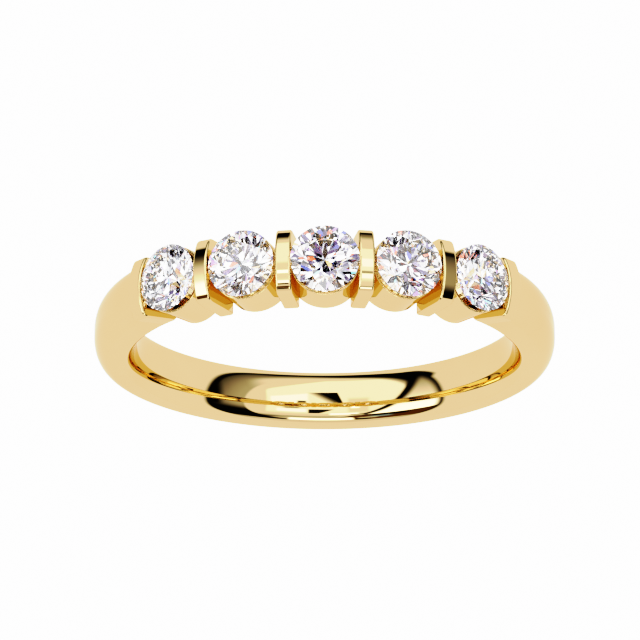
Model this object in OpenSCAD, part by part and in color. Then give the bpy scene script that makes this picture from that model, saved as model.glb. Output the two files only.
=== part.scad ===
// Five-stone band: round brilliants held between upright bars on a D-shaped shank.
// The finger axis is Z, the stones face -Y, and the origin is the middle of the finger hole.

/* [Finger hole] */
// Inside diameter of the ring (17.3 mm is a US size 7)
finger_d = 17.3; // [16.1:0.1:18.9]

/* [Shank] */
// Width of the shank along the finger
shank_w = 2.44; // [2.2:0.02:2.6]
// Wall thickness of the shank at its back and sides
shank_t = 1.87; // [1.7:0.01:2.1]
// Radius of each shoulder's outside, seen along the finger
shoulder_r = 12.17; // [12.1:0.01:12.4]
// How far past the finger axis the middle of that round lies, away from its shoulder
shoulder_shift = 1.7; // [1.6:0.01:1.8]
// How far that middle lies from the finger axis towards the stones
shoulder_lift = 0.2; // [0.15:0.01:0.3]
// How much narrower each shoulder is than the shank, on either side
shoulder_inset = 0.02; // [0.01:0.01:0.04]
// Radius of the crowned outside of the shank, seen in section
crown_r = 3.0; // [2.6:0.1:6]
// Radius of the two outer edges of the shank
outer_edge_r = 0.42; // [0.3:0.01:0.5]
// Radius of the two inner edges of the shank, for comfort
inner_edge_r = 0.3; // [0.15:0.01:0.4]

/* [Stones] */
// Girdle diameter of each stone
stone_d = 3.0; // [2.8:0.02:3.02]
// Angle between neighbouring stones about the finger axis
stone_pitch = 19.15; // [19.1:0.05:20]
// Distance from the finger axis to the girdle plane of each stone
girdle_h = 11.02; // [10.95:0.01:11.2]
// Width of the table over the girdle diameter
table_share = 0.57; // [0.53:0.01:0.62]
// Angle of the eight crown mains to the girdle plane
crown_angle = 34.5; // [32:0.1:36]
// Angle of the eight pavilion mains to the girdle plane
pavilion_angle = 40.75; // [40:0.05:41.5]
// Full thickness of the girdle where the mains meet it
girdle_t = 0.09; // [0.08:0.01:0.12]

/* [Bars] */
// Thickness of each bar round the ring
bar_t = 0.6; // [0.5:0.01:0.62]
// Width of each bar along the finger, at its foot in the finger hole
bar_foot_w = 2.92; // [2.8:0.01:3]
// Width of each bar along the finger, just under its rounded top corners
bar_top_w = 2.72; // [2.6:0.01:2.9]
// Distance from the finger axis to the middle of a bar's top
bar_top_h = 11.3; // [11.2:0.01:11.6]
// Radius of the slightly domed top of a bar, seen from its side
bar_dome_r = 9; // [6:0.5:20]
// Radius of the two top corners of a bar, seen from its side
bar_corner_r = 0.35; // [0.2:0.01:0.45]

/* [Cups] */
// Outside diameter of the round cup under each stone
cup_d = 2.9; // [2.7:0.01:2.94]
// Drop from the girdle plane to the rim of the cup
cup_drop = 0.4; // [0.3:0.01:0.5]
// Width of the flat lip on the rim of the cup
cup_lip = 0.07; // [0.05:0.01:0.12]
// Diameter of the hole through the bottom of the cup
cup_hole_d = 1.4; // [1:0.05:1.6]
// Air left between the seat and the stone at the edge of that hole
seat_gap = 0.05; // [0.03:0.01:0.08]

/* [Hidden] */
$fn = 96;

stone_count = 5;
finger_r = finger_d / 2;
shank_r = finger_r + shank_t;
middle_stone = (stone_count + 1) / 2;
end_bar_angle = stone_pitch * stone_count / 2;
far = 2 * shoulder_r;

// Angle about the finger axis of a stone, counted from 1, measured from -Y
function stone_angle(i) = (i - middle_stone) * stone_pitch;

// The girdle, table and culet of one stone, in its own frame: axis Z, girdle plane at 0
stone_r = stone_d / 2;
table_r = stone_r * table_share;
crown_h = (stone_r - table_r) * tan(crown_angle);
pavilion_h = stone_r * tan(pavilion_angle);
mains = 8;
half_main = 180 / mains;
// Star facets reach this share of the way from the table's edge to the girdle
star_share = 0.5;
// Lower girdle facets reach this share of the way from the girdle to the culet
lower_share = 0.77;
girdle_steps = 4;
star_r = table_r * cos(half_main) * (1 - star_share) + stone_r * star_share;
lower_r = stone_r * (1 - lower_share);

// Height over the girdle of a main facet's plane at a radius and an angle off its middle
function main_z(r, off, tilt) = (stone_r - r * cos(off)) * tan(tilt);
star_z = main_z(star_r, half_main, crown_angle);
lower_z = main_z(lower_r, half_main, pavilion_angle);

// Height lost by a girdle facet at an angle from its nearer corner, where the round
// girdle bulges past the straight line between the facet's two corners
function scallop(off, tip_r, tip_z) =
    let (mid = half_main / 2,
         chord_r = stone_r * cos(mid),
         slope = tip_z / (chord_r - tip_r * cos(mid)))
    slope * (stone_r * cos(off - mid) - chord_r);

function ring_at(r, z, n, turn) =
    [for (k = [0 : n - 1]) let (a = turn + k * 360 / n) [r * cos(a), r * sin(a), z]];

girdle_n = 2 * mains * girdle_steps;
function girdle_edge(side, tip_r, tip_z) =
    [for (k = [0 : girdle_n - 1])
        let (a = k * 360 / girdle_n, off = (k % girdle_steps) * 360 / girdle_n)
        [stone_r * cos(a), stone_r * sin(a), side * (girdle_t / 2 - scallop(off, tip_r, tip_z))]];

// Every corner of the stone, ring by ring from the table to the culet
table_at = 0;
star_at = table_at + mains;
upper_at = star_at + mains;
under_at = upper_at + girdle_n;
lower_at = under_at + girdle_n;
culet_at = lower_at + mains;
brilliant_points = concat(
    ring_at(table_r, girdle_t / 2 + crown_h, mains, 0),
    ring_at(star_r, girdle_t / 2 + star_z, mains, half_main),
    girdle_edge(1, star_r, star_z),
    girdle_edge(-1, lower_r, lower_z),
    ring_at(lower_r, -girdle_t / 2 - lower_z, mains, half_main),
    [[0, 0, -girdle_t / 2 - pavilion_h]]);

function table_pt(k) = table_at + k % mains;
function star_pt(k) = star_at + (k + mains) % mains;
function upper_pt(k) = upper_at + (k + girdle_n) % girdle_n;
function under_pt(k) = under_at + (k + girdle_n) % girdle_n;
function lower_pt(k) = lower_at + (k + mains) % mains;
main_steps = 2 * girdle_steps;

// Facets seen from outside run clockwise
brilliant_faces = concat(
    [[for (k = [mains - 1 : -1 : 0]) table_pt(k)]],
    [for (k = [0 : mains - 1]) [table_pt(k), table_pt(k + 1), star_pt(k)]],
    [for (k = [0 : mains - 1]) [table_pt(k), star_pt(k), upper_pt(k * main_steps), star_pt(k - 1)]],
    [for (k = [0 : mains - 1], s = [0, 1])
        concat([star_pt(k)],
            [for (j = [girdle_steps : -1 : 0]) upper_pt(k * main_steps + s * girdle_steps + j)])],
    [for (k = [0 : girdle_n - 1]) [upper_pt(k), upper_pt(k + 1), under_pt(k + 1), under_pt(k)]],
    [for (k = [0 : mains - 1], s = [0, 1])
        concat([lower_pt(k)],
            [for (j = [0 : girdle_steps]) under_pt(k * main_steps + s * girdle_steps + j)])],
    [for (k = [0 : mains - 1]) [culet_at, lower_pt(k - 1), under_pt(k * main_steps), lower_pt(k)]]);

// Round brilliant cut: table, 8 stars, 8 crown mains, 16 upper and 16 lower girdle facets, 8 pavilion mains
module brilliant() {
    polyhedron(points = brilliant_points, faces = brilliant_faces);
}

// Places its children on the ring: their Z becomes the way out from the finger axis, and their Y
// runs along the finger
module on_ring(angle) {
    rotate([0, 0, angle]) rotate([90, 0, 0]) children();
}

// Section of the shank with X as the distance from its own centre and Y along the finger
module shank_section(outer_r, inner_r, width) {
    half_w = width / 2;
    edge_y = half_w - outer_edge_r;
    crown_x = outer_r - crown_r;
    edge_x = crown_x + sqrt(pow(crown_r - outer_edge_r, 2) - pow(edge_y, 2));
    crown_y = crown_r * edge_y / (crown_r - outer_edge_r);
    translate([inner_r, -half_w]) square([edge_x - inner_r, width]);
    for (side = [-1, 1]) translate([edge_x, side * edge_y]) circle(outer_edge_r);
    intersection() {
        translate([crown_x, 0]) circle(crown_r);
        translate([inner_r, -crown_y]) square([outer_r - inner_r, 2 * crown_y]);
    }
}

// Finger hole with its two rounded edges, cut from the shank
module comfort_hole() {
    half_w = shank_w / 2;
    rotate_extrude() {
        translate([0, -shank_w]) square([finger_r, 2 * shank_w]);
        for (side = [0, 1]) mirror([0, side]) difference() {
            translate([finger_r - inner_edge_r, half_w - inner_edge_r])
                square([2 * inner_edge_r, inner_edge_r + shank_w / 2]);
            translate([finger_r + inner_edge_r, half_w - inner_edge_r]) circle(inner_edge_r);
        }
    }
}

// Wedge between the middles of the two end bars, where the shank gives way to the stones
module head_wedge() {
    across = far * sin(end_bar_angle);
    out = far * cos(end_bar_angle);
    linear_extrude(2 * bar_foot_w, center = true) polygon([[0, 0], [-across, -out], [across, -out]]);
}

// Shank, round about the finger, with two shoulders on their own wider rounds that swell
// out of it towards the end bars
module shank() {
    // Sections start this far under the outside, well inside the finger hole that bores them
    depth = shank_t + shoulder_shift;
    shoulder_w = shank_w - 2 * shoulder_inset;
    difference() {
        union() {
            rotate_extrude() shank_section(shank_r, shank_r - depth, shank_w);
            for (side = [0, 1]) mirror([side, 0, 0])
                translate([-shoulder_shift, -shoulder_lift, 0]) rotate([0, 0, -end_bar_angle])
                    rotate_extrude(angle = end_bar_angle)
                        shank_section(shoulder_r, shoulder_r - depth, shoulder_w);
        }
        head_wedge();
        comfort_hole();
    }
}

// Upright bar with a slightly domed top, seen from its side: X along the finger, Y outwards
module bar_side() {
    foot = finger_r - bar_t;
    corner_y = bar_top_h - 2 * bar_corner_r;
    inset = bar_top_w / 2 - bar_corner_r;
    dome_y = bar_top_h - bar_dome_r;
    corner_h = dome_y + sqrt(pow(bar_dome_r - bar_corner_r, 2) - pow(inset, 2));
    dome_x = bar_dome_r * inset / (bar_dome_r - bar_corner_r);
    polygon([[-bar_foot_w / 2, foot], [bar_foot_w / 2, foot], [bar_top_w / 2, corner_h],
        [-bar_top_w / 2, corner_h]]);
    for (side = [-1, 1]) translate([side * inset, corner_h]) circle(bar_corner_r);
    intersection() {
        translate([0, dome_y]) circle(bar_dome_r);
        translate([-dome_x, corner_y]) square([2 * dome_x, bar_top_h - corner_y]);
    }
}

module bar(angle) {
    on_ring(angle) rotate([90, 0, 90]) linear_extrude(bar_t, center = true) bar_side();
}

// Round cup whose axis points out from the finger
module cup(angle) {
    on_ring(angle) cylinder(h = girdle_h - cup_drop, d = cup_d);
}

// Hole and cone-shaped seat inside a cup
module seat(angle) {
    rim_h = girdle_h - cup_drop;
    hole_r = cup_hole_d / 2;
    mouth_r = cup_d / 2 - cup_lip;
    touch_drop = girdle_t / 2 + (stone_r - hole_r) * tan(pavilion_angle) + seat_gap / cos(pavilion_angle);
    cone_h = touch_drop - cup_drop;
    on_ring(angle) {
        cylinder(h = far, r = hole_r);
        translate([0, 0, rim_h - cone_h]) cylinder(h = cone_h, r1 = hole_r, r2 = mouth_r);
        translate([0, 0, rim_h]) cylinder(h = cup_drop, r = mouth_r);
    }
}

// All the gold, cast in one: shank, six bars and five cups, bored for the finger
module band() {
    color("gold") {
        shank();
        difference() {
            union() {
                for (i = [0 : stone_count]) bar((i - stone_count / 2) * stone_pitch);
                for (i = [1 : stone_count]) cup(stone_angle(i));
            }
            for (i = [1 : stone_count]) seat(stone_angle(i));
            cylinder(h = 2 * bar_foot_w, r = finger_r, center = true);
        }
    }
}

module stone(i) {
    color("aliceblue") on_ring(stone_angle(i)) translate([0, 0, girdle_h]) rotate([0, 0, 90]) brilliant();
}

band();
stone(1);  // stone_1
stone(2);  // stone_2
stone(3);  // stone_3
stone(4);  // stone_4
stone(5);  // stone_5
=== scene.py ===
"""Five-stone band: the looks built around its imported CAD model.

Row frame, in metres: the finger axis is Z, the stones face -Y and the origin is the middle of the
finger hole. The ring lies on its side, and the floor is at the lowest point of the CAD model.
Shapes are worked out in millimetres and scaled when their meshes are made.
"""

import math

import bpy
from mathutils import Matrix, Vector


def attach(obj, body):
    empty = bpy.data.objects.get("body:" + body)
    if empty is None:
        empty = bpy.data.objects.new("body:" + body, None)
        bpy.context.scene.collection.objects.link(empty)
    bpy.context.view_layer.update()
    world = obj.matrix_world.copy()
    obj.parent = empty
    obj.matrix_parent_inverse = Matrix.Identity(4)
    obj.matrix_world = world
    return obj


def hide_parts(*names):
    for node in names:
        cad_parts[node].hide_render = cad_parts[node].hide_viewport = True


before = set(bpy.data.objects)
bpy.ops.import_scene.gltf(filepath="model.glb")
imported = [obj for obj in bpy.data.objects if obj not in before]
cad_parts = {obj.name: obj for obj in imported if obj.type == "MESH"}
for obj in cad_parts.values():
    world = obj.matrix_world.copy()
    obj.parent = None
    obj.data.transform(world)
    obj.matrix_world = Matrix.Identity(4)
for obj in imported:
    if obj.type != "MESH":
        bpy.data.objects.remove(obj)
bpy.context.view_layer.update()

MM = 0.001
SHARP_ANGLE = math.radians(40)

# Sizes in mm and angles in degrees. The bars and stones stand where the photograph shows them, within
# 0.3 mm of the CAD source's even spacing
FINGER_R = 8.65
STONE_ANGLES = (-39.2, -19.5, 0.0, 19.5, 39.2)
BAR_ANGLES = (-49.0, -29.45, -9.5, 9.5, 29.45, 49.0)
GIRDLE_H = 10.86
STONE_R = 1.49


# ---------------------------------------------------------------- small helpers


def on_ring(degrees):
    """Frame of a mount at an angle from -Y: X runs round the ring, Y along the finger, Z outwards."""
    angle = math.radians(degrees)
    out = Vector((math.sin(angle), -math.cos(angle), 0.0))
    along = Vector((0.0, 0.0, 1.0))
    around = along.cross(out)
    return Matrix((around, along, out)).transposed().to_4x4()


def make_piece(name, points, faces, material, place=None, faceted=False):
    """A closed mesh in mm, scaled to metres, riding on the ring's one body."""
    mesh = bpy.data.meshes.new(name)
    placed = [place @ Vector(p) if place else Vector(p) for p in points]
    mesh.from_pydata([p * MM for p in placed], [], faces)
    mesh.validate()
    if faceted:
        mesh.shade_flat()
    else:
        mesh.shade_smooth()
        mesh.set_sharp_from_angle(angle=SHARP_ANGLE)
    mesh.materials.append(material)
    piece = bpy.data.objects.new(name, mesh)
    bpy.context.scene.collection.objects.link(piece)
    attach(piece, "root")
    return piece


def arc(centre, radius, start, end, steps):
    """Points and outward normals along an arc, both ends included, angles in radians."""
    found = []
    for k in range(steps + 1):
        a = start + (end - start) * k / steps
        n = (math.cos(a), math.sin(a))
        found.append(((centre[0] + radius * n[0], centre[1] + radius * n[1]), n))
    return found


def loft(rings, closed_along):
    """Quads between rings of equal length; rings run on into the first when closed_along."""
    count, size = len(rings), len(rings[0])
    points = [p for ring in rings for p in ring]
    faces = []
    for i in range(count if closed_along else count - 1):
        j = (i + 1) % count
        for k in range(size):
            m = (k + 1) % size
            faces.append((i * size + k, i * size + m, j * size + m, j * size + k))
    return points, faces


# ---------------------------------------------------------------- materials


class Tree:
    """Node tree with short calls for the nodes that the materials here use."""

    def __init__(self, tree):
        self.tree = tree
        tree.nodes.clear()

    def node(self, kind, inputs=None, **settings):
        made = self.tree.nodes.new(kind)
        for key, value in settings.items():
            setattr(made, key, value)
        for key, value in (inputs or {}).items():
            self.feed(made.inputs[key], value)
        return made

    def feed(self, socket, value):
        if isinstance(value, bpy.types.NodeSocket):
            self.tree.links.new(value, socket)
        else:
            socket.default_value = value

    def math(self, operation, a, b=0.0, c=0.0, clamp=False):
        made = self.node("ShaderNodeMath", operation=operation, use_clamp=clamp)
        for socket, value in zip(made.inputs, (a, b, c)):
            self.feed(socket, value)
        return made.outputs[0]

    def map_range(self, value, low, high, to_low=0.0, to_high=1.0, smooth=True):
        made = self.node("ShaderNodeMapRange", interpolation_type="SMOOTHSTEP" if smooth else "LINEAR")
        for key, given in zip(("Value", "From Min", "From Max", "To Min", "To Max"),
                              (value, low, high, to_low, to_high)):
            self.feed(made.inputs[key], given)
        return made.outputs[0]

    def mix(self, factor, a, b):
        made = self.node("ShaderNodeMix", data_type="RGBA", clamp_factor=True)
        self.feed(made.inputs[0], factor)
        self.feed(made.inputs[6], a)
        self.feed(made.inputs[7], b)
        return made.outputs[2]

    def noise(self, where, scale, detail):
        inputs = {"Vector": where, "Scale": scale, "Detail": detail}
        return self.node("ShaderNodeTexNoise", inputs=inputs).outputs["Fac"]

    def scale(self, colour, factor):
        inputs = {0: colour, "Scale": factor}
        return self.node("ShaderNodeVectorMath", operation="SCALE", inputs=inputs).outputs[0]

    def ramp(self, value, stops, interpolation="LINEAR"):
        made = self.node("ShaderNodeValToRGB", inputs={"Fac": value})
        made.color_ramp.interpolation = interpolation
        elements = made.color_ramp.elements
        while len(elements) > 1:
            elements.remove(elements[-1])
        for k, (position, colour) in enumerate(stops):
            stop = elements[0] if k == 0 else elements.new(position)
            stop.position = position
            stop.color = (*colour, 1.0)
        return made.outputs[0]


DIAMOND_IOR = 2.417


def new_material(name):
    material = bpy.data.materials.new(name)
    material.use_nodes = True
    return material, Tree(material.node_tree)


def gold_material():
    """Polished yellow gold, with a breath of unevenness in its polish."""
    material, t = new_material("polished_gold")
    where = t.node("ShaderNodeTexCoord").outputs["Object"]
    colour = t.ramp(t.noise(where, 260.0, 2.0), [(0.3, (0.795, 0.605, 0.318)), (0.7, (0.815, 0.625, 0.334))])
    rough = t.map_range(t.noise(where, 2400.0, 3.0), 0.3, 0.7, 0.02, 0.045)
    shader = t.node("ShaderNodeBsdfPrincipled", inputs={
        "Base Color": colour, "Metallic": 1.0, "Roughness": rough,
        "Specular Tint": (0.943, 0.874, 0.728, 1.0)})
    out = t.node("ShaderNodeOutputMaterial")
    t.tree.links.new(shader.outputs[0], out.inputs[0])
    return material


def diamond_material():
    """Clear diamond, with the faintest cool clouds in it."""
    material, t = new_material("clear_diamond")
    where = t.node("ShaderNodeTexCoord").outputs["Object"]
    colour = t.ramp(t.noise(where, 500.0, 1.0), [(0.3, (0.985, 0.985, 1.0)), (0.7, (1.0, 1.0, 1.0))])
    shader = t.node("ShaderNodeBsdfPrincipled", inputs={
        "Base Color": colour, "Metallic": 0.0, "Roughness": 0.0, "IOR": DIAMOND_IOR,
        "Transmission Weight": 1.0})
    out = t.node("ShaderNodeOutputMaterial")
    t.tree.links.new(shader.outputs[0], out.inputs[0])
    return material


gold = gold_material()
diamond = diamond_material()

# ---------------------------------------------------------------- camera

# The camera looks at the stones from 18.8 degrees above the floor, rolled half a turn, so
# that the ring stands upright in the picture
CAMERA_TILT = math.radians(71.18)
CAMERA_DISTANCE = 159.2
CAMERA_TARGET = Vector((0.2122, -0.300, -0.807))
SENSOR = 36.0
FOCAL_PIXELS = 3480.5
PICTURE_PIXELS = 640.0

right = Vector((-1.0, 0.0, 0.0))
up = Vector((0.0, -math.cos(CAMERA_TILT), -math.sin(CAMERA_TILT)))
back = right.cross(up)
camera_data = bpy.data.cameras.new("camera")
camera_data.sensor_width = SENSOR
camera_data.lens = SENSOR * FOCAL_PIXELS / PICTURE_PIXELS
camera_data.clip_start = 0.01
camera_data.clip_end = 10.0
camera = bpy.data.objects.new("camera", camera_data)
camera.matrix_world = Matrix.Translation((CAMERA_TARGET + CAMERA_DISTANCE * back) * MM) @ Matrix(
    (right, up, back)).transposed().to_4x4()
bpy.context.scene.collection.objects.link(camera)
bpy.context.scene.camera = camera

# Light turns many times inside the stones and between the bars
bpy.context.scene.cycles.max_bounces = 24
bpy.context.scene.cycles.transmission_bounces = 24
bpy.context.scene.cycles.glossy_bounces = 12

# ---------------------------------------------------------------- shank

END_ANGLE = math.radians(BAR_ANGLES[-1])
SHANK_R = 10.512
SHOULDER_D = 2.07
SIDE_HALF = 1.31
HEAD_HALF = 1.23
OUTER_AXIAL, OUTER_RADIAL = 1.12, 0.70
# How far the oval of the finger side falls away at its edges
INNER_RADIAL = 0.49
SHANK_STEPS = 260
CROWN_STEPS, ROUND_STEPS, OVAL_STEPS = 32, 8, 18


def shank_outer(angle):
    """Outer radius at an angle from -Y: round at the back, swelling towards the end bars."""
    phi = math.pi / 2 - angle
    if phi <= 0:
        return SHANK_R
    d, r = SHOULDER_D, SHANK_R + SHOULDER_D
    c = math.cos(phi)
    return (-2 * d * c + math.sqrt(4 * d * d * c * c + 4 * (r * r - d * d))) / 2


def shank_half(angle):
    """Half the width along the finger at an angle from -Y."""
    share = min(1.0, max(0.0, (math.pi / 2 - angle) / (math.pi / 2 - END_ANGLE)))
    return SIDE_HALF + (HEAD_HALF - SIDE_HALF) * share * share


def crowned(half, axial, radial, edge):
    """Half of a crowned face as (drop, along, normal): an oval from its middle, then its edge's round.

    The oval's half axes are axial and radial. The round begins edge short of half, or is left out if
    edge is 0.
    """
    last = math.asin((half - edge) / axial)
    found = []
    for k in range(CROWN_STEPS + 1):
        a = last * k / CROWN_STEPS
        turn = math.atan2(radial * math.sin(a), axial * math.cos(a))
        found.append((radial * (1 - math.cos(a)), axial * math.sin(a), (math.cos(turn), math.sin(turn))))
    if edge == 0:
        return found
    drop, along, (c, s) = found[-1]
    r = (half - along) / (1 - s)
    for k in range(1, ROUND_STEPS + 1):
        a = turn + (math.pi / 2 - turn) * k / ROUND_STEPS
        normal = (math.cos(a), math.sin(a))
        found.append((drop + r * (c - normal[0]), along + r * (normal[1] - s), normal))
    return found


def shank_section(outer, half):
    """Closed section as (radius, along the finger), from the middle of the finger side."""
    crown = crowned(half, half, INNER_RADIAL, 0)
    quarter = [(FINGER_R + drop, along) for drop, along, _ in crown]
    side_in, side_out = quarter[-1][0], outer - OUTER_RADIAL
    quarter += [(side_in + (side_out - side_in) * s, half) for s in (0.03, 0.25, 0.5, 0.75, 0.97)]
    flat = half - OUTER_AXIAL
    for k in range(OVAL_STEPS + 1):
        a = math.pi / 2 * k / OVAL_STEPS
        quarter.append((side_out + OUTER_RADIAL * math.sin(a), flat + OUTER_AXIAL * math.cos(a)))
    quarter += [(outer, flat * s) for s in (0.6, 0.2)]
    mirrored = [(r, -z) for r, z in reversed(quarter[1:])]
    return quarter + mirrored


def shank_mesh():
    rings = []
    for i in range(SHANK_STEPS + 1):
        angle = END_ANGLE + (2 * math.pi - 2 * END_ANGLE) * i / SHANK_STEPS
        from_head = min(angle, 2 * math.pi - angle)
        section = shank_section(shank_outer(from_head), shank_half(from_head))
        rings.append([(r * math.sin(angle), -r * math.cos(angle), z) for r, z in section])
    points, faces = loft(rings, False)
    size = len(rings[0])
    faces.append(tuple(reversed(range(size))))
    faces.append(tuple(range(SHANK_STEPS * size, (SHANK_STEPS + 1) * size)))
    return points, faces


# ---------------------------------------------------------------- bars

BAR_T = 0.69
BAR_FOOT_HALF = 1.495
BAR_TOP_HALF = 1.475
BAR_TOP_H = 11.06
# Half axes of the oval that the top follows, and where the round at its two ends begins
TOP_AXIAL, TOP_RADIAL = 3.0, 3.0
TOP_EDGE = 0.25
BAR_EDGE = 0.1
# The end bars are this much thicker on their outer side, and stand proud of the shank's sides
END_MORE = 0.12
END_HALF = 1.40
END_EDGE = 0.16
END_PROUD = 0.006


def bar_outline(at_end):
    """Side view of a bar as points and outward normals, X along the finger, Y outwards."""
    top_half, top_edge = (END_HALF, END_EDGE) if at_end else (BAR_TOP_HALF, TOP_EDGE)
    top = [((along, BAR_TOP_H - drop), (n[1], n[0]))
           for drop, along, n in crowned(top_half, TOP_AXIAL, TOP_RADIAL, top_edge)]
    if at_end:
        foot = [((along, FINGER_R + drop + END_PROUD), (n[1], -n[0]))
                for drop, along, n in crowned(HEAD_HALF + END_PROUD, HEAD_HALF + END_PROUD, INNER_RADIAL, 0)]
    else:
        down = (0.0, -1.0)
        foot = [((0.0, FINGER_R), down), ((BAR_FOOT_HALF - 1.4 * BAR_EDGE, FINGER_R), down)]
        foot += arc((BAR_FOOT_HALF - BAR_EDGE, FINGER_R + BAR_EDGE), BAR_EDGE, -math.pi / 2, 0.0, 6)
    (x0, y0), (x1, y1) = foot[-1][0], top[-1][0]
    length = math.hypot(x1 - x0, y1 - y0)
    normal = ((y1 - y0) / length, (x0 - x1) / length)
    side = [((x0 + (x1 - x0) * s, y0 + (y1 - y0) * s), normal) for s in (0.01, 0.3, 0.6, 0.99)]
    half = foot + side + top[::-1]
    mirrored = [((-p[0], p[1]), (-n[0], n[1])) for p, n in reversed(half[1:-1])]
    return half + mirrored


def bar_mesh(end=0):
    """A bar in its mount's frame, with small rounds along its edges.

    The end is -1 for the first bar and 1 for the last.
    """
    outline = bar_outline(end != 0)
    # How far each layer's outline is drawn in, and how deep it lies under the bar's flat side
    layers = [(BAR_EDGE + 0.02, 0.0)]
    for k in range(ROUND_STEPS + 1):
        a = math.pi / 2 * k / ROUND_STEPS
        layers.append((BAR_EDGE * (1 - math.sin(a)), BAR_EDGE * (1 - math.cos(a))))
    layers.append((0.0, BAR_EDGE + 0.01))
    low = -BAR_T / 2 - (END_MORE if end < 0 else 0.0)
    high = BAR_T / 2 + (END_MORE if end > 0 else 0.0)
    layers = ([(inset, low + x) for inset, x in layers]
              + [(inset, high - x) for inset, x in reversed(layers)])
    rings = [[(x, p[0] - inset * n[0], p[1] - inset * n[1]) for p, n in outline] for inset, x in layers]
    points, faces = loft(rings, False)
    size = len(outline)
    faces.append(tuple(reversed(range(size))))
    faces.append(tuple(range((len(layers) - 1) * size, len(layers) * size)))
    return points, faces


# ---------------------------------------------------------------- cups

CUP_R = 1.495
RIM_H = 10.43
LIP = 0.12
CUP_HOLE_R = 0.7
SEAT_SLOPE = math.radians(40.75)
SEAT_GAP = 0.05
GIRDLE_T = 0.09
# Rounds of the rim's outer and inner edge
RIM_OUT, RIM_IN = 0.03, 0.02
CUP_STEPS = 96


def cup_mesh():
    """A cup in its mount's frame: outer wall, lip, seat under the stone, and open bottom."""
    mouth_r = CUP_R - LIP
    drop = GIRDLE_T / 2 + (STONE_R - CUP_HOLE_R) * math.tan(SEAT_SLOPE) + SEAT_GAP / math.cos(SEAT_SLOPE)
    cone_h = GIRDLE_H - drop
    # Radius and height, where no height means that the point follows the finger hole
    profile = [(CUP_R, None), (CUP_R, RIM_H - RIM_OUT - 0.02)]
    profile += [p for p, _ in arc((CUP_R - RIM_OUT, RIM_H - RIM_OUT), RIM_OUT, 0.0, math.pi / 2, 5)]
    profile += [p for p, _ in arc((mouth_r + RIM_IN, RIM_H - RIM_IN), RIM_IN, math.pi / 2, math.pi, 4)]
    profile += [(mouth_r - 0.01, RIM_H - 2 * RIM_IN), (CUP_HOLE_R + 0.01, cone_h + 0.01),
                (CUP_HOLE_R, cone_h - 0.01), (CUP_HOLE_R, None)]
    rings = []
    for r, h in profile:
        ring = []
        for k in range(CUP_STEPS):
            a = 2 * math.pi * k / CUP_STEPS
            x, y = r * math.cos(a), r * math.sin(a)
            ring.append((x, y, math.sqrt(FINGER_R ** 2 - x * x) if h is None else h))
        rings.append(ring)
    return loft(rings, True)


# ---------------------------------------------------------------- stones

TABLE_SHARE = 0.57
CROWN_SLOPE = math.radians(34.5)
STAR_SHARE = 0.5
LOWER_SHARE = 0.77
MAINS = 8
# Straight pieces of the round girdle along each girdle facet
GIRDLE_STEPS = 4


def brilliant_mesh():
    """A round brilliant in its mount's frame: table, stars, mains, girdle facets and a pointed culet."""
    half = math.pi / MAINS
    table_r = STONE_R * TABLE_SHARE
    star_r = table_r * math.cos(half) * (1 - STAR_SHARE) + STONE_R * STAR_SHARE
    lower_r = STONE_R * (1 - LOWER_SHARE)
    count = 2 * MAINS * GIRDLE_STEPS
    mid = half / 2

    def main_height(r, off, slope):
        """Height over the girdle of a main facet's plane at a radius and an angle off its middle."""
        return (STONE_R - r * math.cos(off)) * math.tan(slope)

    def ring(r, height, n, turn):
        return [(r * math.cos(turn + 2 * math.pi * k / n), r * math.sin(turn + 2 * math.pi * k / n), height)
                for k in range(n)]

    def girdle_edge(side, tip_r, tip_height):
        """Girdle corners that keep the flat girdle facets flat where the round bulges past them."""
        chord_r = STONE_R * math.cos(mid)
        slope = tip_height / (chord_r - tip_r * math.cos(mid))
        found = []
        for k in range(count):
            a, off = 2 * math.pi * k / count, (k % GIRDLE_STEPS) * 2 * math.pi / count
            lost = slope * (STONE_R * math.cos(off - mid) - chord_r)
            found.append((STONE_R * math.cos(a), STONE_R * math.sin(a), side * (GIRDLE_T / 2 - lost)))
        return found

    star_height = main_height(star_r, half, CROWN_SLOPE)
    lower_height = main_height(lower_r, half, SEAT_SLOPE)
    points = ring(table_r, GIRDLE_T / 2 + main_height(table_r, 0.0, CROWN_SLOPE), MAINS, 0.0)
    points += ring(star_r, GIRDLE_T / 2 + star_height, MAINS, half)
    points += girdle_edge(1, star_r, star_height) + girdle_edge(-1, lower_r, lower_height)
    points += ring(lower_r, -GIRDLE_T / 2 - lower_height, MAINS, half)
    points.append((0.0, 0.0, -GIRDLE_T / 2 - main_height(0.0, 0.0, SEAT_SLOPE)))
    points = [(x, y, z + GIRDLE_H) for x, y, z in points]

    star_at, upper_at = MAINS, 2 * MAINS
    under_at, lower_at, culet = upper_at + count, upper_at + 2 * count, upper_at + 2 * count + MAINS
    faces = [tuple(range(MAINS))]
    for k in range(MAINS):
        after, before = (k + 1) % MAINS, (k - 1) % MAINS
        at = 2 * GIRDLE_STEPS * k
        faces.append((k, star_at + k, after))
        faces.append((k, star_at + before, upper_at + at, star_at + k))
        faces.append((culet, lower_at + k, under_at + at, lower_at + before))
        for s in (0, 1):
            run = [(at + s * GIRDLE_STEPS + j) % count for j in range(GIRDLE_STEPS + 1)]
            faces.append((star_at + k, *(upper_at + j for j in run)))
            faces.append((lower_at + k, *(under_at + j for j in reversed(run))))
    for k in range(count):
        m = (k + 1) % count
        faces.append((upper_at + k, under_at + k, under_at + m, upper_at + m))
    return points, faces


# ---------------------------------------------------------------- assembly

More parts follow.
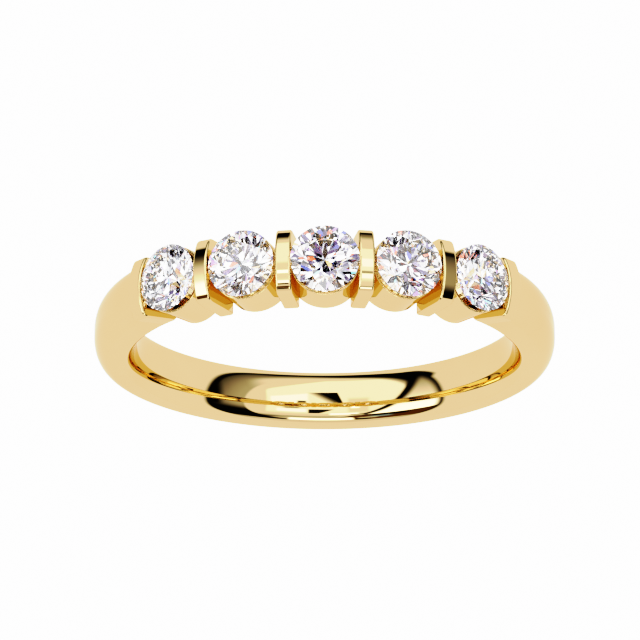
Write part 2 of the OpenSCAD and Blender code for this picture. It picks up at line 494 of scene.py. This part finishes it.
gold_pieces = [make_piece("shank", *shank_mesh(), gold)]
for i, angle in enumerate(BAR_ANGLES, 1):
    mesh = bar_mesh(end={1: -1, len(BAR_ANGLES): 1}.get(i, 0))
    gold_pieces.append(make_piece(f"bar_{i}", *mesh, gold, on_ring(angle)))
for i, angle in enumerate(STONE_ANGLES, 1):
    gold_pieces.append(make_piece(f"cup_{i}", *cup_mesh(), gold, on_ring(angle)))
for piece in gold_pieces:
    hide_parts("band")

for i, angle in enumerate(STONE_ANGLES, 1):
    stone = make_piece(f"diamond_{i}", *brilliant_mesh(), diamond, on_ring(angle), faceted=True)
    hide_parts(f"stone_{i}")

# ---------------------------------------------------------------- floor and light

FLOOR_Z = -1.5
FLOOR_FAR = 1200.0


def floor_piece():
    """Adds a plain pale floor, which glows enough to hide almost all of the ring's shadow."""
    material, t = new_material("pale_floor")
    shader = t.node("ShaderNodeBsdfPrincipled", inputs={
        "Base Color": (0.12, 0.12, 0.12, 1.0), "Roughness": 1.0, "Specular IOR Level": 0.0,
        "Emission Color": (1.0, 1.0, 1.0, 1.0), "Emission Strength": 1.85})
    out = t.node("ShaderNodeOutputMaterial")
    t.tree.links.new(shader.outputs[0], out.inputs[0])
    mesh = bpy.data.meshes.new("floor")
    s, z = FLOOR_FAR * MM, FLOOR_Z * MM
    mesh.from_pydata([(-s, -s, z), (s, -s, z), (s, s, z), (-s, s, z)], [], [(0, 1, 2, 3)])
    mesh.materials.append(material)
    floor = bpy.data.objects.new("floor", mesh)
    floor.visible_glossy = False
    floor.visible_transmission = False
    bpy.context.scene.collection.objects.link(floor)


floor_piece()

# Scene brightness that shows as full white, and what a few lower ones show as
TONE_WHITE = 2.5
TONE_POINTS = (
    (0.036, 0.006), (0.109, 0.051), (0.25, 0.238), (0.33, 0.348), (0.615, 0.637), (0.805, 0.815),
    (1.04, 0.873), (1.36, 0.932), (1.9, 0.985))

# Colours of the sparks, each from a share of all directions up to the next, and how fine and bright
# they are
SPARKS = [
    (0.00, (0.003, 0.003, 0.005)), (0.22, (0.08, 0.075, 0.08)), (0.30, (0.13, 0.15, 0.44)),
    (0.325, (0.26, 0.60, 0.64)), (0.35, (0.60, 0.16, 0.09)), (0.365, (0.36, 0.24, 0.50)),
    (0.38, (0.66, 0.48, 0.24)), (0.42, (0.34, 0.35, 0.38)), (0.53, (0.64, 0.65, 0.67)),
    (0.72, (1.00, 1.00, 1.00))]
SPARK_SCALE = 7.0
SPARK_LIGHT = 2.5
# Two dark places among the sparks: where the photographer stood, and one low over the stones. Each is
# a fixed direction with its rings as (outer edge, inner edge, colour) in degrees from its middle
PHOTOGRAPHER = Vector((0.0, -0.9465, 0.3226)).normalized()
LOW_DARK = Vector((-0.10, -0.96, -0.25)).normalized()
SPARK_SHADES = (
    (PHOTOGRAPHER, ((18.5, 17.0, (0.30, 0.25, 0.42, 1.0)), (15.0, 11.0, (0.02, 0.014, 0.03, 1.0)))),
    (LOW_DARK, ((16.0, 14.0, (0.34, 0.27, 0.50, 1.0)), (12.5, 10.5, (0.015, 0.01, 0.02, 1.0)))),
)
# Shades of the studio that come back
DARK, WHITE = 0.012, 1.0


def studio_world():
    """Soft white studio. Towards the stones hang light panels in a dark opening; the rest is white.

    The opening is laid out in degrees from its middle, which is straight out over the stones (-Y):
    east runs towards -X and north towards -Z.
    """
    world = bpy.data.worlds.new("studio")
    world.use_nodes = True
    t = Tree(world.node_tree)
    direction = t.node("ShaderNodeTexCoord").outputs["Generated"]
    split = t.node("ShaderNodeSeparateXYZ", inputs={0: direction}).outputs
    dx = t.math("MULTIPLY", split[0], -1.0)
    dy = t.math("MULTIPLY", split[2], -1.0)
    dz = t.math("MULTIPLY", split[1], -1.0)

    def degrees_off(cosine):
        """Angle in degrees; the factor keeps rounding from leaving the arccosine's range."""
        return t.math("DEGREES", t.math("ARCCOSINE", t.math("MULTIPLY", cosine, 0.99999)))

    off = degrees_off(dz)
    flat = t.math("SQRT", t.math("ADD", t.math("MULTIPLY", dx, dx), t.math("MULTIPLY", dy, dy)))
    per = t.math("DIVIDE", off, t.math("MAXIMUM", flat, 0.0001))
    east, north = t.math("MULTIPLY", dx, per), t.math("MULTIPLY", dy, per)

    def edge(value, low, high):
        """0 at low and 1 at high, which may be the smaller of the two."""
        return t.map_range(value, low, high)

    def band(value, low, high, soft):
        return t.math("MULTIPLY", edge(value, low - soft, low + soft), edge(value, high + soft, high - soft))

    def slant(a, b, share):
        return t.math("MULTIPLY_ADD", b, share, a)

    light = (DARK, DARK, DARK, 1.0)

    def lay(mask, brightness):
        """Covers what is there so far with a brightness or colour, as far as the mask goes."""
        nonlocal light
        if isinstance(brightness, (int, float)):
            brightness = (brightness, brightness, brightness, 1.0)
        light = t.mix(mask, light, brightness)

    def both(*masks):
        found = masks[0]
        for mask in masks[1:]:
            found = t.math("MULTIPLY", found, mask)
        return found

    def fade(value, stops):
        """Grey that follows a value through (value, brightness) stops."""
        low, high = stops[0][0], stops[-1][0]
        top = max(b for _, b in stops)
        share = t.map_range(value, low, high, smooth=False)
        grey = t.ramp(share, [((v - low) / (high - low), (b / top,) * 3) for v, b in stops])
        return t.scale(grey, top)

    # Dim wall round the north-east of the ceiling, darker towards the rim of the opening
    wall = fade(off, [(44, 0.55), (54, 0.50), (60, 0.40), (67, 0.24), (71, 0.14), (73, 0.01)])
    lay(both(edge(slant(east, north, -0.25), -32, -4), edge(north, -22, -4)), wall)
    # Brown ground south of the ceiling
    lay(both(edge(north, -26, -32), edge(off, 78, 70)), (0.16, 0.08, 0.02, 1.0))
    lay(both(edge(east, -18, -12), edge(north, -26, -29)), DARK)
    lay(both(edge(east, -18, -12), edge(north, -35.5, -37.5), edge(slant(east, north, -0.6), 58, 50)), WHITE)
    lay(both(edge(slant(east, north, -0.6), 28, 50), edge(slant(north, east, -0.5), -46, -62)), DARK)
    # Ceiling, with a brighter panel in its middle
    bend = t.math("POWER", t.math("SUBTRACT", 35.0, t.math("MINIMUM", north, 35.0)), 2.0)
    strip = t.math("MULTIPLY_ADD", bend, -0.0085, t.math("ADD", east, 52.5))
    ceiling = both(edge(strip, 1.0, 5.0), edge(off, 64, 55), edge(north, -38, -24))
    lay(both(ceiling, edge(slant(east, north, -0.25), 40, 22)), 1.02)
    lay(both(ceiling, edge(off, 51, 49)), 1.02)
    to_east, to_corner = t.math("SUBTRACT", 35.5, east), t.math("SUBTRACT", 47.5, slant(north, east, 0.6))
    corner = t.math("SMOOTH_MIN", to_east, to_corner, 6.0)
    panel = both(edge(strip, 1.0, 5.0), edge(off, 59, 55), edge(corner, -0.8, 1.2), edge(north, 49.5, 46.5))
    lay(both(panel, edge(north, -22, -12)), 1.6)
    # West panel, and the dark ground under it
    glow = fade(north, [(-26, 3.0), (-8, 2.8), (2, 1.5), (12, 1.1), (22, 0.85), (31, 0.6), (40, 0.32),
                        (49, 0.12), (57, 0.01)])
    lay(both(edge(strip, -1.0, -7.0), edge(off, 76, 69), edge(north, -27, -23)), glow)
    lay(both(band(east, -50, -28, 2), band(north, -34, -26, 1.5)), DARK)
    lay(both(band(east, -39, -26, 3), band(north, -40, -33, 2.5)), (0.30, 0.45, 0.72, 1.0))
    lay(both(band(east, -30, -19, 2), band(north, -43, -37, 2)), (0.7, 0.74, 0.74, 1.0))
    lay(both(band(east, -26, -16, 1.5), band(north, -51, -43, 1.5)), 0.03)
    lay(both(band(east, -32, -14, 3), band(north, -66, -54, 2)), (0.62, 0.30, 0.07, 1.0))
    # Duller part of the panel, and the dark far to the north and east
    lay(both(band(east, -27, -14, 1.5), band(north, -16.5, 13, 3)), 1.08)
    lay(both(edge(east, 62, 69), edge(north, -22, -10)), DARK)
    lay(both(edge(off, 66, 69), band(east, -30, 30, 8), edge(north, 20, 30)), DARK)
    # Fittings in the ceiling
    beyond = t.math("SUBTRACT", north, 22.0)
    side = slant(east, beyond, -0.2)
    inner = slant(east, beyond, -0.75)
    shade = fade(inner, [(2, DARK), (5, 0.25), (9, 1.1)])
    lay(both(edge(side, -8.6, -7.2), edge(inner, 11, 9), edge(north, 23.5, 22.3), edge(north, 3, 6)), shade)
    lay(both(edge(slant(east, north, 0.9), -14, -11), edge(east, 10.5, 9.0),
             band(north, -17.5, -7.5, 0.8)), 0.02)
    lay(both(band(east, 10, 33, 1), edge(slant(north, east, 0.3), 26, 23), edge(north, 4, 6)), 2.2)
    lay(both(band(east, 11, 16.5, 1), band(north, 5.2, 9.2, 0.8)), 0.15)
    lay(both(band(east, 15, 25, 2), band(north, -7.5, -2, 1.5)), 0.5)
    lay(both(band(east, 11, 29, 1.2), band(north, -14.5, -6.5, 1)), 2.3)
    lay(both(band(east, -21, -16, 1), band(north, -5.5, -0.5, 0.8)), 3.2)
    lay(both(band(east, -20, -3, 1.2), band(north, -23.5, -17.5, 0.8)), 2.6)
    lay(both(band(east, -23, 11, 2), band(north, -27.5, -24, 0.8)), 0.95)
    lay(both(band(east, -23, -15, 1), band(north, -24.2, -22.2, 0.4)), 0.02)
    lay(both(band(east, -7, 24, 3), band(north, -38, -28, 1.5)), 0.55)
    # South panel, and the dim floor before it
    lay(both(band(east, -16, 20, 1.5), band(north, -51, -37.5, 1.5)), 3.0)
    lay(both(edge(north, -52, -54), edge(t.math("ABSOLUTE", east), 60, 30)), 0.85)
    # The white room round the opening
    wider = t.math("MULTIPLY", both(edge(east, -35, -50), edge(north, 38, 50)), 4.5)
    lay(edge(t.math("SUBTRACT", off, wider), 75.0, 79.0), WHITE)

    # What is seen through a stone are many small white and coloured sparks, with two dark places
    cell = t.node("ShaderNodeTexVoronoi", inputs={"Vector": direction, "Scale": SPARK_SCALE}).outputs["Color"]
    pick = t.node("ShaderNodeSeparateXYZ", inputs={0: cell}).outputs[0]
    sparks = t.scale(t.ramp(pick, SPARKS, "CONSTANT"), SPARK_LIGHT)
    for middle, rings in SPARK_SHADES:
        facing = t.node("ShaderNodeVectorMath", operation="DOT_PRODUCT", inputs={0: direction, 1: middle})
        away = degrees_off(facing.outputs["Value"])
        for outer, inner, colour in rings:
            sparks = t.mix(edge(away, outer, inner), sparks, colour)
    light = t.mix(t.node("ShaderNodeLightPath").outputs["Is Transmission Ray"], light, sparks)

    background = t.node("ShaderNodeBackground", inputs={"Color": light, "Strength": 1.0})
    t.tree.links.new(background.outputs[0], t.node("ShaderNodeOutputWorld").inputs[0])
    return world


def set_tone(settings):
    """Plain display colours with more contrast in the shadows and a long shoulder."""
    settings.view_transform = "Standard"
    settings.use_curve_mapping = True
    mapping = settings.curve_mapping
    mapping.white_level = (TONE_WHITE, TONE_WHITE, TONE_WHITE)
    curve = mapping.curves[3]
    for x, y in TONE_POINTS:
        curve.points.new(x / TONE_WHITE, y)
    mapping.update()


bpy.context.scene.world = studio_world()
set_tone(bpy.context.scene.view_settings)
